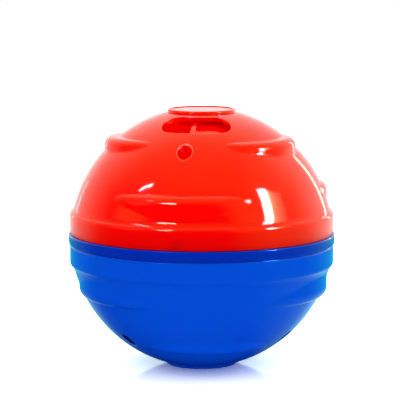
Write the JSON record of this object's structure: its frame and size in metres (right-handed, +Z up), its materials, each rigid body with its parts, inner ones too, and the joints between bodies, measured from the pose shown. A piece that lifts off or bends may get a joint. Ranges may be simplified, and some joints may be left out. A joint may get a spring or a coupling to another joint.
{
  "type": "treat ball",
  "caption": "Hard plastic treat ball for pets: two moulded halves screwed on a ring, a divider funnel inside, treat holes, and a slot with a turning shutter.",
  "frame": {"origin": "middle of the ball, on the axis through both poles and the middle plane of the ring", "axes": "+Z up through the dial, -Y to the front, where the upper treat hole and the slot face, +X to the right"},
  "size_m": [0.1268, 0.1268, 0.1225],
  "materials": {
    "red_plastic": "glossy moulded",
    "blue_plastic": "glossy moulded",
    "dark_blue_plastic": "glossy moulded",
    "zinc_steel": "zinc plated"
  },
  "bodies": {
    "lower_half": {"lower_shell": "blue_plastic", "foot_plug": "blue_plastic", "foot_washer": "zinc_steel", "foot_screw": "zinc_steel"},
    "divider": {"divider_funnel": "red_plastic"},
    "collar": {"collar_ring": "dark_blue_plastic"},
    "lift_washer": {"dial_washer": "zinc_steel"},
    "upper_half": {"upper_shell": "red_plastic"},
    "shutter": {"top_dial": "red_plastic", "slot_shutter": "red_plastic", "dial_screw": "zinc_steel"}
  },
  "joints": [
    {"name": "collar_lift", "type": "slide", "parent": "lower_half", "child": "divider", "axis": [0, 0, 1], "range_m": [0, 0.009]},
    {"name": "collar_twist", "type": "hinge", "parent": "divider", "child": "collar", "pos_m": [0, 0, 0], "axis": [0, 0, 1], "range_deg": [0, 90]},
    {"name": "upper_lift", "type": "slide", "parent": "collar", "child": "lift_washer", "axis": [0, 0, 1], "range_m": [0, 0.009]},
    {"name": "upper_twist", "type": "hinge", "parent": "lift_washer", "child": "upper_half", "pos_m": [0, 0, 0], "axis": [0, 0, 1], "range_deg": [0, 90]},
    {"name": "shutter_turn", "type": "hinge", "parent": "upper_half", "child": "shutter", "pos_m": [0, 0, 0.058], "axis": [0, 0, 1], "range_deg": [-34, 42]}
  ],
  "couplings": [
    {"joint": "collar_lift", "follows": "collar_twist", "m_per_rad": 0.0057296},
    {"joint": "upper_lift", "follows": "upper_twist", "m_per_rad": 0.0057296}
  ]
}
